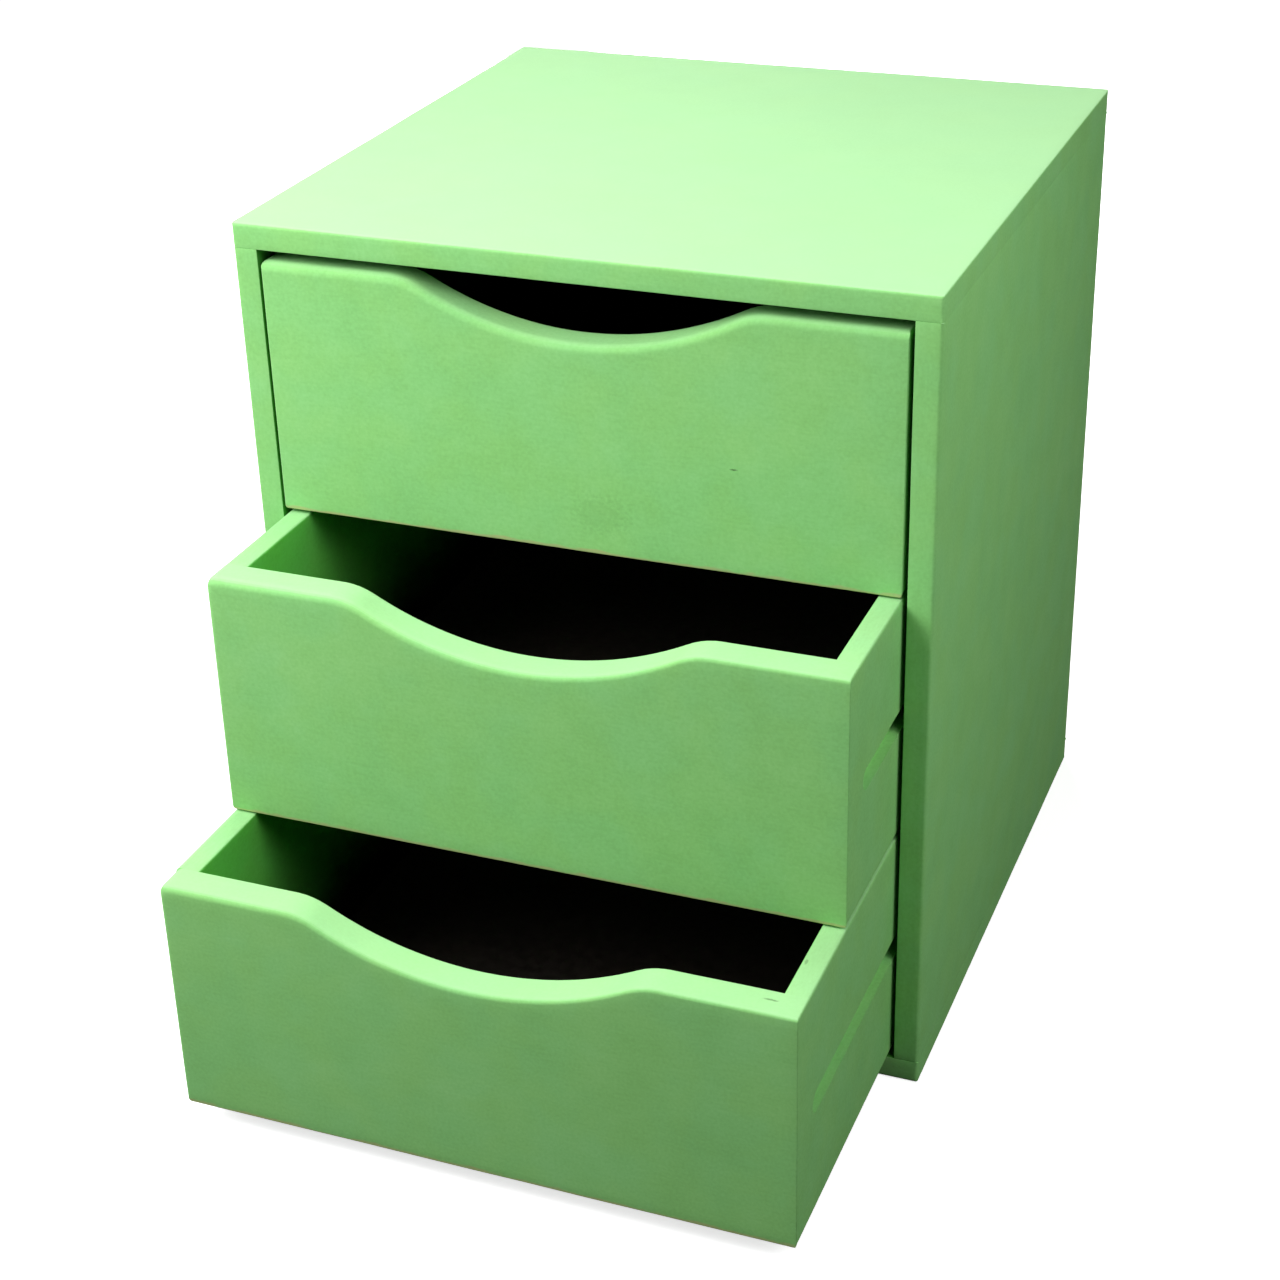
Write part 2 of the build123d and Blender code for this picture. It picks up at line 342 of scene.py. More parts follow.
@dataclass(frozen=True)
class BrushedPaint:
    """Light green satin paint, brushed on by hand, thin and rubbed along the arrises."""

    base: Colour = (0.575, 0.84, 0.51)
    pale: Colour = (0.625, 0.875, 0.56)
    deep: Colour = (0.53, 0.79, 0.46)
    cool: Colour = (0.985, 1.0, 1.03)
    warm: Colour = (1.02, 1.0, 0.965)
    # Painted light: the pale colour that faces looking up are mixed towards, as if lit harder from above.
    painted_top_light: Colour = (0.715, 0.88, 0.69)
    bare: Colour = (0.80, 0.70, 0.52)
    blemish: Colour = (0.22, 0.38, 0.17)
    # Painted shade: the near-black that inside faces darken to, further below the drawer's top.
    board: Colour = (0.07, 0.06, 0.045)
    streak: Grain = Grain(0.9 * MM, 3.0, 0.0, 7 * MM)
    cloud: Grain = Grain(42 * MM, 3.0, 4.7)
    patch: Grain = Grain(13 * MM, 2.0, 6.1)
    speck: Grain = Grain(1.15 * MM, 2.0, 2.3)
    pores: Grain = Grain(0.65 * MM, 4.0, 6.6, 3.7 * MM)
    tint: Grain = Grain(24 * MM, 4.0, 9.1)
    ragged: Grain = Grain(2 * MM, 4.0, 7.9, 9 * MM)
    streak_share: float = 0.17
    cloud_share: float = 0.24
    patch_share: float = 0.24
    speck_share: float = 0.37
    middle_tone: float = 0.5
    tones: Triple = (0.25, 0.5, 0.78)
    tint_span: Span = (0.35, 0.65)
    top_turn: Span = (0.55, 0.95)
    inner_turn: Span = (0.6, 0.95)
    front_turn: Span = (-0.2, -0.5)
    rub_reach: float = 1.5 * MM
    rub_share: float = 0.5
    shade_edge_swing: float = 16 * MM
    mark_swing: float = 1.2
    mark_fringe: Span = (1.0, 0.3)
    roughness: Span = (0.48, 0.72)
    speck_height: float = 0.5
    brush_height: float = 0.16 * MM
    brush_strength: float = 0.22
    specular: float = 0.004

    def material(self, name: str, coat: Coat) -> bpy.types.Material:
        """Makes the paint for one piece.

        Args:
            name: the material's name.
            coat: how the piece was painted.

        Returns:
            The new material.
        """
        material, bench, shader = new_material(name)
        spot = bench.spot()
        level = bench.axes(spot)["Z"]
        facing = bench.axes(bench.add("ShaderNodeNewGeometry").outputs["True Normal"])
        above = bench.sum("GREATER_THAN", level, coat.crown)
        on_top = bench.sum("MULTIPLY", bench.ease(facing["Z"], *self.top_turn), above)
        streak = bench.grain(spot, self.streak, coat.stroke)
        cloud, patch, speck, tint = (bench.grain(spot, grain)
                                     for grain in (self.cloud, self.patch, self.speck, self.tint))
        tone: Source = self.middle_tone
        for layer, share in ((streak, self.streak_share), (cloud, self.cloud_share),
                             (patch, self.patch_share), (speck, self.speck_share)):
            tone = bench.swing(layer, share, tone)
        if coat.speckle:
            pores = bench.grain(spot, self.pores, coat.stroke)
            tone = bench.swing(pores, bench.sum("MULTIPLY", on_top, coat.speckle), tone)
        colour = bench.ramp(tone, self.tones, (self.deep, self.base, self.pale))
        hue = bench.mix(bench.ease(tint, *self.tint_span), (*self.cool, 1.0), (*self.warm, 1.0))
        colour = bench.mix(1.0, colour, hue, "MULTIPLY")
        # Painted light: faces looking up above the crown are paled, as if lit more from above.
        if coat.fade:
            colour = bench.mix(bench.sum("MULTIPLY", on_top, coat.fade), colour, linear(self.painted_top_light))
        axis, sign = coat.inside.value
        # Painted shade: faces turned to the inside keep only a share of each colour.
        inside_shade_mask = bench.ease(bench.sum("MULTIPLY", facing[axis], sign), *self.inner_turn)
        colour = bench.mix(inside_shade_mask, colour, (*coat.painted_inside_shade, 1.0), "MULTIPLY")
        # Painted shade: inside faces go darker towards the bottom, down to near-black.
        if coat.ends:
            inside_dark_share = bench.ease(bench.swing(cloud, self.shade_edge_swing, level), *coat.ends)
            colour = bench.mix(bench.sum("MULTIPLY", inside_shade_mask, inside_dark_share), colour, linear(self.board))
        if coat.rubbed_foot is not None:
            ragged = bench.grain(spot, self.ragged, Stroke.ACROSS)
            swung = bench.swing(ragged, 2 * self.rub_reach, level)
            start, end = coat.rubbed_foot + self.rub_reach, coat.rubbed_foot + self.rub_reach / 2
            rubbed = bench.sum("MULTIPLY", bench.ease(swung, start, end, 0.0, self.rub_share),
                               bench.ease(facing["Y"], *self.front_turn))
            colour = bench.mix(rubbed, colour, linear(self.bare))
        for mark in coat.marks:
            moved = bench.add("ShaderNodeMapping", {
                "Vector": spot, "Location": [-c / r for c, r in zip(mark.centre, mark.reach)],
                "Scale": [1 / r for r in mark.reach]}).outputs["Vector"]
            away = bench.swing(speck, self.mark_swing, bench.length(moved))
            stain = bench.ease(away, *self.mark_fringe, 0.0, mark.depth)
            colour = bench.mix(stain, colour, linear(self.blemish))
        height = bench.sum("MULTIPLY_ADD", speck, self.speck_height, streak)
        bench.wire(shader, {
            "Base Color": colour, "Roughness": bench.ease(streak, *NOISE_SPAN, *self.roughness),
            "Normal": bench.bump(height, self.brush_height, self.brush_strength),
            "Specular IOR Level": self.specular})
        return material


@dataclass(frozen=True)
class Hardboard:
    """Pressed brown fibre sheet with a faint screen print in its rough face."""

    base: Colour
    pale: Colour
    deep: Colour
    fibre: Grain = Grain(3.2 * MM, 5.0, 1.0, 0.8 * MM)
    cloud: Grain = Grain(30 * MM, 3.0, 3.0)
    cloud_share: float = 0.5
    tones: Triple = (0.3, 0.5, 0.7)
    screen_pitch: float = 1.6 * MM
    screen_height: float = 0.12 * MM
    screen_strength: float = 0.5
    roughness: Span = (0.54, 0.74)
    specular: float = 0.3

    def material(self, name: str, screen: float) -> bpy.types.Material:
        """Makes the sheet's material.

        Args:
            name: the material's name.
            screen: strength of the screen print, 0 on a smooth sheet.

        Returns:
            The new material.
        """
        material, bench, shader = new_material(name)
        spot = bench.spot()
        fibre = bench.grain(spot, self.fibre)
        tone = bench.blend(bench.grain(spot, self.cloud), fibre, self.cloud_share)
        waves = bench.add("ShaderNodeVectorMath", {0: spot, 1: (math.tau / self.screen_pitch,) * 3},
                          operation="MULTIPLY").outputs["Vector"]
        ways = bench.axes(waves)
        net = bench.sum("MULTIPLY", bench.sum("SINE", ways["X"]), bench.sum("SINE", ways["Z"]))
        height = bench.sum("MULTIPLY_ADD", net, screen, fibre)
        bench.wire(shader, {
            "Base Color": bench.ramp(tone, self.tones, (self.deep, self.base, self.pale)),
            "Roughness": bench.ease(fibre, *NOISE_SPAN, *self.roughness),
            "Normal": bench.bump(height, self.screen_height, self.screen_strength),
            "Specular IOR Level": self.specular})
        return material


@dataclass(frozen=True)
class BareWood:
    """Planed wood with darker late-wood lines along its grain."""

    early: Colour
    late: Colour
    lines: Grain
    pores: Grain
    line_share: float = 0.75
    tone_span: Span = (0.36, 0.64)
    relief_height: float = 0.1 * MM
    relief_strength: float = 0.35
    roughness: Span = (0.7, 0.5)

    def material(self, name: str, stroke: Stroke) -> bpy.types.Material:
        """Makes the wood's material.

        Args:
            name: the material's name.
            stroke: the way that its grain runs.

        Returns:
            The new material.
        """
        material, bench, shader = new_material(name)
        spot = bench.spot()
        lines, pores = (bench.grain(spot, grain, stroke) for grain in (self.lines, self.pores))
        share = bench.blend(lines, pores, self.line_share)
        bench.wire(shader, {
            "Base Color": bench.mix(bench.ease(share, *self.tone_span), linear(self.early), linear(self.late)),
            "Roughness": bench.ease(lines, *NOISE_SPAN, *self.roughness),
            "Normal": bench.bump(share, self.relief_height, self.relief_strength)})
        return material


@dataclass(frozen=True)
class BrightSteel:
    """Drawn steel of small pins, faintly scuffed."""

    base: Colour = (0.72, 0.72, 0.71)
    dull: Colour = (0.52, 0.51, 0.49)
    scuff: Grain = Grain(0.5 * MM, 4.0, 1.5)
    scuff_span: Span = (0.35, 0.7)
    roughness: Span = (0.24, 0.49)
    metallic: float = 1.0

    def material(self, name: str) -> bpy.types.Material:
        """Makes the steel's material.

        Args:
            name: the material's name.

        Returns:
            The new material.
        """
        material, bench, shader = new_material(name)
        scuff = bench.grain(bench.spot(), self.scuff)
        bench.wire(shader, {
            "Base Color": bench.mix(bench.ease(scuff, *self.scuff_span), linear(self.base), linear(self.dull)),
            "Roughness": bench.ease(scuff, *NOISE_SPAN, *self.roughness), "Metallic": self.metallic})
        return material


def evaluated_mesh(piece: bpy.types.Object, name: str) -> bpy.types.Mesh:
    """Turns an object with its modifiers into one plain mesh.

    Args:
        piece: the object.
        name: the mesh's name.

    Returns:
        A new mesh with every modifier in it.
    """
    graph = bpy.context.evaluated_depsgraph_get()
    mesh = bpy.data.meshes.new_from_object(piece.evaluated_get(graph), depsgraph=graph)
    mesh.name = name
    return mesh


def scratch_object(mesh: bpy.types.Mesh) -> bpy.types.Object:
    """Puts a mesh in the scene.

    Args:
        mesh: the mesh.

    Returns:
        A new object with that mesh, at the origin.
    """
    piece = bpy.data.objects.new(mesh.name, mesh)
    bpy.context.scene.collection.objects.link(piece)
    return piece


def drop_object(piece: bpy.types.Object) -> None:
    """Takes a working object and its mesh out of the file.

    Args:
        piece: the object.
    """
    mesh = piece.data
    bpy.data.objects.remove(piece)
    bpy.data.meshes.remove(mesh)


def prism_mesh(name: str, outline: Sequence[Span], low_x: float, high_x: float) -> bpy.types.Mesh:
    """Makes a prism along X.

    Args:
        name: the mesh's name.
        outline: points in Y and Z, anticlockwise as seen from +X.
        low_x: where it starts.
        high_x: where it ends.

    Returns:
        A closed mesh whose faces point outwards.
    """
    bm = bmesh.new()
    rings = [[bm.verts.new((x, y, z)) for y, z in outline] for x in (low_x, high_x)]
    bm.faces.new(rings[0][::-1])
    bm.faces.new(rings[1])
    for index in range(len(outline)):
        after = (index + 1) % len(outline)
        bm.faces.new((rings[0][index], rings[0][after], rings[1][after], rings[1][index]))
    bmesh.ops.recalc_face_normals(bm, faces=bm.faces)
    mesh = bpy.data.meshes.new(name)
    bm.to_mesh(mesh)
    bm.free()
    return mesh


def room_mesh(name: str, low: Triple, high: Triple) -> bpy.types.Mesh:
    """Makes a plain box.

    Args:
        name: the mesh's name.
        low: its lowest corner.
        high: its highest corner.

    Returns:
        A closed mesh whose faces point outwards.
    """
    (left, front, foot), (right, back, head) = low, high
    return prism_mesh(name, ((front, foot), (back, foot), (back, head), (front, head)), left, right)


@dataclass
class Board:
    """Sawn board with eased edges, gridded so that its faces can be slightly uneven."""

    name: str
    low: Vector
    high: Vector
    ease: float
    eases: EdgeEases = field(default_factory=dict)
    tapers: EdgeEases = field(default_factory=dict)
    steps: Triple = (12 * MM, 12 * MM, 12 * MM)
    segments: int = 4
    unevenness: float = 0.07 * MM
    unevenness_size: float = 26 * MM
    unevenness_seed: int = 11
    sharp_angle: float = math.radians(38)
    inset_gain: float = 1.15

    @property
    def widest(self) -> float:
        """Largest ease on the board."""
        return max([self.ease, *self.eases.values(), *self.tapers.values()])

    def ease_at(self, sides: frozenset[Side], spot: Vector) -> float:
        """Ease of an edge at one spot.

        Args:
            sides: the faces that meet in the edge.
            spot: a point on it.

        Returns:
            The ease, which changes along the edge if that tapers.
        """
        start = self.eases.get(sides, self.ease)
        axis = ({0, 1, 2} - {side.value[0] for side in sides}).pop()
        share = (spot[axis] - self.low[axis]) / (self.high[axis] - self.low[axis])
        return start + (self.tapers.get(sides, start) - start) * share

    def stations(self, axis: int) -> list[float]:
        """Sets out the grid lines along an axis.

        Args:
            axis: the axis.

        Returns:
            The ends, a line just inside each rounded edge, and even steps between.
        """
        low, high = self.low[axis], self.high[axis]
        inset = min(self.inset_gain * self.widest, (high - low) / 3)
        count = max(1, round((high - low - 2 * inset) / self.steps[axis]))
        inner = [low + inset + (high - low - 2 * inset) * step / count for step in range(count + 1)]
        return [low, *inner, high]

    def blank(self) -> bpy.types.Mesh:
        """Box on the grid lines, with every edge's ease stored as a bevel weight.

        Returns:
            A closed mesh.
        """
        lines = [self.stations(axis) for axis in range(3)]
        last = [len(line) - 1 for line in lines]
        bm = bmesh.new()
        verts: dict[tuple[int, ...], bmesh.types.BMVert] = {}
        sides: dict[bmesh.types.BMVert, set[Side]] = {}

        def corner(spot: tuple[int, ...]) -> bmesh.types.BMVert:
            """Finds the vertex at a grid spot, and makes it when it is first asked for.

            Args:
                spot: numbers of its grid lines.

            Returns:
                The vertex.
            """
            if spot not in verts:
                verts[spot] = bm.verts.new([line[step] for line, step in zip(lines, spot)])
                sides[verts[spot]] = {side for side in Side for axis, end in [side.value]
                                      if spot[axis] == max(0, end) * last[axis]}
            return verts[spot]

        for axis in range(3):
            across, along = (axis + 1) % 3, (axis + 2) % 3
            for end, a, b in product((0, last[axis]), range(last[across]), range(last[along])):
                loop = []
                for step_a, step_b in ((0, 0), (1, 0), (1, 1), (0, 1)):
                    spot = [end, end, end]
                    spot[across] = a + step_a
                    spot[along] = b + step_b
                    loop.append(corner(tuple(spot)))
                bm.faces.new(loop if end else loop[::-1])
        weight = bm.edges.layers.float.new("bevel_weight_edge")
        for line in bm.edges:
            shared = sides[line.verts[0]] & sides[line.verts[1]]
            if len(shared) == 2:
                middle = (line.verts[0].co + line.verts[1].co) / 2
                line[weight] = self.ease_at(frozenset(shared), middle) / self.widest
        mesh = bpy.data.meshes.new(self.name)
        bm.to_mesh(mesh)
        bm.free()
        return mesh

    def roughen(self, mesh: bpy.types.Mesh) -> None:
        """Moves the vertices a little, as hand sanding leaves them. Boards that meet move alike.

        Args:
            mesh: the eased board.
        """
        # Without a seed the noise starts from the clock, and every run would give other faces.
        noise.seed_set(self.unevenness_seed)
        for vertex in mesh.vertices:
            vertex.co += noise.noise_vector(vertex.co / self.unevenness_size) * self.unevenness

    def eased(self) -> bpy.types.Mesh:
        """Rounds the blank's edges.

        Returns:
            A closed mesh.
        """
        rough = scratch_object(self.blank())
        bevel = rough.modifiers.new("ease", "BEVEL")
        bevel.limit_method = "WEIGHT"
        bevel.width = self.widest
        bevel.segments = self.segments
        bevel.use_clamp_overlap = False
        mesh = evaluated_mesh(rough, self.name)
        drop_object(rough)
        return mesh

    def finish(self, mesh: bpy.types.Mesh, material: bpy.types.Material,
               cutters: Sequence[bpy.types.Mesh] = ()) -> bpy.types.Object:
        """Cuts a board's grooves and readies it for the scene.

        Args:
            mesh: the eased board.
            material: its finish.
            cutters: closed meshes to take out of it, which are used up.

        Returns:
            The finished object.
        """
        self.roughen(mesh)
        piece = scratch_object(mesh)
        tools = [scratch_object(cutter) for cutter in cutters]
        for tool in tools:
            cut = piece.modifiers.new("groove", "BOOLEAN")
            cut.operation = "DIFFERENCE"
            cut.solver = "EXACT"
            cut.object = tool
        if tools:
            cut_mesh = evaluated_mesh(piece, self.name)
            for used in (*tools, piece):
                drop_object(used)
            piece = scratch_object(cut_mesh)
        piece.name = self.name
        piece.data.materials.clear()
        piece.data.materials.append(material)
        piece.data.shade_smooth()
        piece.data.set_sharp_from_angle(angle=self.sharp_angle)
        return piece


class GeometryRule:
    """Geometry node tree with named inputs, which is worked out into plain meshes."""

    def __init__(self, name: str, shape: str, sizes: Sequence[str], result: str) -> None:
        """Starts the tree.

        Args:
            name: the tree's name.
            shape: name of the input for a mesh.
            sizes: names of the inputs for lengths.
            result: name of the output.
        """
        self.tree = bpy.data.node_groups.new(name, "GeometryNodeTree")
        self.result = result
        sockets = self.tree.interface
        sockets.new_socket(shape, in_out="INPUT", socket_type="NodeSocketGeometry")
        kinds = {**dict.fromkeys(sizes, "NodeSocketFloat"), "Finish": "NodeSocketMaterial"}
        self.identifiers = {given: sockets.new_socket(given, in_out="INPUT", socket_type=kind).identifier
                            for given, kind in kinds.items()}
        sockets.new_socket(result, in_out="OUTPUT", socket_type="NodeSocketGeometry")
        self.bench = NodeBench(self.tree)
        self.inputs = self.bench.add("NodeGroupInput").outputs

    def places(self) -> bpy.types.NodeOutputs:
        """Parts of a vertex's place along X, Y and Z."""
        return self.bench.axes(self.bench.add("GeometryNodeInputPosition").outputs["Position"])

    def close(self, shape: Socket) -> None:
        """Ends the tree with one whole mesh in its finish.

        Args:
            shape: what the tree made.
        """
        whole = self.bench.add("GeometryNodeRealizeInstances", {"Geometry": shape}).outputs["Geometry"]
        dressed = self.bench.add("GeometryNodeSetMaterial", {"Geometry": whole, "Material": self.inputs["Finish"]})
        self.bench.add("NodeGroupOutput", {self.result: dressed.outputs["Geometry"]})

    def run(self, mesh: bpy.types.Mesh, name: str, values: dict[str, object]) -> bpy.types.Mesh:
        """Works the tree out on a mesh.

        Args:
            mesh: the mesh that goes in, which is used up.
            name: the new mesh's name.
            values: what the other inputs are set to, by name.

        Returns:
            A new plain mesh.
        """
        blank = scratch_object(mesh)
        modifier = blank.modifiers.new(self.tree.name, "NODES")
        modifier.node_group = self.tree
        for given, value in values.items():
            modifier[self.identifiers[given]] = value
        made = evaluated_mesh(blank, name)
        drop_object(blank)
        return made


@dataclass
class ScoopRule:
    """Rule of the finger scoop: a bowl between two round shoulders, drawn down into the top of a board."""

    width: float = 136 * MM
    depth: float = 16.8 * MM
    shoulder: float = 25 * MM
    whole_rows: float = 5.5 * MM
    rule: GeometryRule = field(init=False)

    def __post_init__(self) -> None:
        """Builds the tree that draws a board's top edge down."""
        sizes = ("Foot", "Top", "Whole rows", "Scoop width", "Scoop depth", "Shoulder radius")
        self.rule = GeometryRule("finger_scoop", "Board", sizes, "Front")
        bench, inputs, parts = self.rule.bench, self.rule.inputs, self.rule.places()
        drop = self.drop(bench.sum("ABSOLUTE", parts["X"]))
        span = bench.sum("SUBTRACT", bench.sum("SUBTRACT", inputs["Top"], inputs["Whole rows"]), inputs["Foot"])
        share = bench.sum("DIVIDE", bench.sum("SUBTRACT", parts["Z"], inputs["Foot"]), span, clamp=True)
        fall = bench.sum("MULTIPLY", bench.sum("MULTIPLY", drop, share), -1.0)
        offset = bench.add("ShaderNodeCombineXYZ", {"Z": fall}).outputs["Vector"]
        moved = bench.add("GeometryNodeSetPosition", {"Geometry": inputs["Board"], "Offset": offset})
        self.rule.close(moved.outputs["Geometry"])

    def chord(self, radius: Source, offset: Source) -> Socket:
        """Height of a circle above its centre.

        Args:
            radius: the circle's radius.
            offset: how far to the side of the centre.

        Returns:
            The socket with the height, 0 past the circle.
        """
        bench = self.rule.bench
        squares = (bench.sum("MULTIPLY", length, length) for length in (radius, offset))
        return bench.sum("SQRT", bench.sum("MAXIMUM", bench.sum("SUBTRACT", *squares), 0.0))

    def drop(self, away: Source) -> Socket:
        """How far the top edge drops at a distance from the middle.

        Args:
            away: the distance.

        Returns:
            The socket with the drop.
        """
        bench, inputs = self.rule.bench, self.rule.inputs
        half = bench.sum("MULTIPLY", inputs["Scoop width"], 0.5)
        depth, shoulder = inputs["Scoop depth"], inputs["Shoulder radius"]
        squares = bench.sum("ADD", bench.sum("MULTIPLY", half, half), bench.sum("MULTIPLY", depth, depth))
        reach = bench.sum("DIVIDE", squares, bench.sum("MULTIPLY", depth, 2.0))
        bowl = bench.sum("SUBTRACT", reach, shoulder)
        meet = bench.sum("DIVIDE", bench.sum("MULTIPLY", half, bowl), reach)
        in_bowl = bench.sum("ADD", bench.sum("SUBTRACT", depth, bowl), self.chord(bowl, away))
        past = bench.sum("SUBTRACT", half, away)
        on_shoulder = bench.sum("SUBTRACT", shoulder, self.chord(shoulder, past))
        inside = bench.sum("LESS_THAN", away, meet)
        reached = bench.sum("LESS_THAN", away, half)
        outer = bench.sum("MULTIPLY", on_shoulder, bench.sum("SUBTRACT", reached, inside))
        return bench.sum("ADD", outer, bench.sum("MULTIPLY", in_bowl, inside))

    def apply(self, board: Board, material: bpy.types.Material) -> bpy.types.Mesh:
        """Scoops a board.

        Args:
            board: the plain board.
            material: its finish.

        Returns:
            The scooped board as a plain mesh.
        """
        return self.rule.run(board.eased(), board.name, {
            "Foot": board.low.z, "Top": board.high.z, "Whole rows": self.whole_rows, "Scoop width": self.width,
            "Scoop depth": self.depth, "Shoulder radius": self.shoulder, "Finish": material})


@dataclass
class PinRow:
    """Where the pins of one node were driven, which way, and the body that they ride on."""

    name: str
    node: str
    body: str
    drive: Callable[[Vector], Vector]
    merge_reach: float = 0.01 * MM

    def islands(self) -> list[tuple[Vector, Vector]]:
        """Finds the separate pins in the frame's node.

        Returns:
            Lowest and highest corner of every pin.
        """
        bm = bmesh.new()
        bm.from_mesh(frame["nodes"][self.node].data)
        bmesh.ops.remove_doubles(bm, verts=bm.verts, dist=self.merge_reach)
        boxes = []
        waiting = set(bm.verts)
        while waiting:
            stack = [waiting.pop()]
            found = []
            while stack:
                vertex = stack.pop()
                found.append(vertex.co.copy())
                near = {line.other_vert(vertex) for line in vertex.link_edges} & waiting
                waiting -= near
                stack.extend(near)
            boxes.append((Vector(map(min, *found)), Vector(map(max, *found))))
        bm.free()
        return sorted(boxes, key=lambda box: tuple(box[0]))

    def points(self) -> tuple[bpy.types.Mesh, float]:
        """Marks where the pins go.

        Returns:
            Head centres with the way each pin was driven, and the pins' length.
        """
        heads, ways, length = [], [], 0.0
        for low, high in self.islands():
            middle = (low + high) / 2
            way = self.drive(middle)
            length = abs((high - low).dot(way))
            heads.append(middle - way * length / 2)
            ways.append(way)
        mesh = bpy.data.meshes.new(self.name)
        mesh.from_pydata(heads, [], [])
        stored = mesh.attributes.new(PIN_WAY, "FLOAT_VECTOR", "POINT")
        for entry, way in zip(stored.data, ways):
            entry.vector = way
        return mesh, length


@dataclass
class PinRule:
    """Rule of the headed pins, turned on a rod by rings and set on the points where they were driven."""

    sides: int = 16
    head_radius: float = 1.2 * MM
    head_thickness: float = 0.5 * MM
    crown_share: float = 0.55
    shoulder_share: float = 0.4
    shank_radius: float = 0.6 * MM
    ring_play: float = 0.1
    sharp_angle: float = math.radians(40)
    rule: GeometryRule = field(init=False)

    def __post_init__(self) -> None:
        """Builds the tree that turns a pin and sets it on every point."""
        sizes = ("Head radius", "Crown radius", "Shank radius", "Head thickness", "Shoulder depth", "Length")
        self.rule = GeometryRule("headed_pins", "Heads", sizes, "Pins")
        bench, parts = self.rule.bench, self.rule.places()
        radii = ("Crown radius", "Head radius", "Head radius", "Shank radius", "Shank radius")
        depths = (None, "Shoulder depth", "Head thickness", "Head thickness", "Length")
        steps = len(radii) - 1
        rod = bench.add("GeometryNodeMeshCylinder", {
            "Vertices": self.sides, "Side Segments": steps, "Radius": 1.0, "Depth": float(steps)}, fill_type="NGON")
        ring = bench.sum("ROUND", bench.sum("ADD", parts["Z"], steps / 2))
        radius = self.by_ring(ring, radii)
        turned = bench.add("ShaderNodeCombineXYZ", {
            "X": bench.sum("MULTIPLY", parts["X"], radius), "Y": bench.sum("MULTIPLY", parts["Y"], radius),
            "Z": self.by_ring(ring, depths)}).outputs["Vector"]
        pin = bench.add("GeometryNodeSetPosition", {"Geometry": rod.outputs["Mesh"], "Position": turned})
        pin = bench.add("GeometryNodeFlipFaces", {"Mesh": pin.outputs["Geometry"]})
        way = bench.add("GeometryNodeInputNamedAttribute", {"Name": PIN_WAY}, data_type="FLOAT_VECTOR")
        aim = bench.add("FunctionNodeAlignRotationToVector", {"Vector": way.outputs["Attribute"]}, axis="Z")
        pins = bench.add("GeometryNodeInstanceOnPoints", {
            "Points": self.rule.inputs["Heads"], "Instance": pin.outputs["Mesh"],
            "Rotation": aim.outputs["Rotation"]})
        self.rule.close(pins.outputs["Instances"])

    def by_ring(self, ring: Socket, names: Sequence[Optional[str]]) -> Source:
        """Picks an input by the ring that a vertex is on.

        Args:
            ring: the ring's number.
            names: the input for each ring, or None for 0.

        Returns:
            The socket with the picked length.
        """
        bench = self.rule.bench
        total: Source = 0.0
        for index, name in enumerate(names):
            if name:
                here = bench.sum("COMPARE", ring, float(index), self.ring_play)
                total = bench.sum("MULTIPLY_ADD", here, self.rule.inputs[name], total)
        return total

    def build(self, row: PinRow, material: bpy.types.Material) -> bpy.types.Object:
        """Makes a row of pins.

        Args:
            row: where the pins go.
            material: the steel.

        Returns:
            One object with all the pins.
        """
        points, length = row.points()
        mesh = self.rule.run(points, row.name, {
            "Head radius": self.head_radius, "Crown radius": self.head_radius * self.crown_share,
            "Shank radius": self.shank_radius, "Head thickness": self.head_thickness,
            "Shoulder depth": self.head_thickness * self.shoulder_share, "Length": length, "Finish": material})
        piece = scratch_object(mesh)
        piece.name = row.name
        mesh.shade_smooth()
        mesh.set_sharp_from_angle(angle=self.sharp_angle)
        return piece


def place(piece: bpy.types.Object, body: str, node: str) -> None:
    """Joins a finished piece to the frame.

    Args:
        piece: the piece.
        body: the body that it moves with.
        node: the frame's node that it stands for.
    """
    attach(piece, body)
    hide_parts(node)
    log.info("%s stands for %s on %s with %d faces", piece.name, node, body, len(piece.data.polygons))


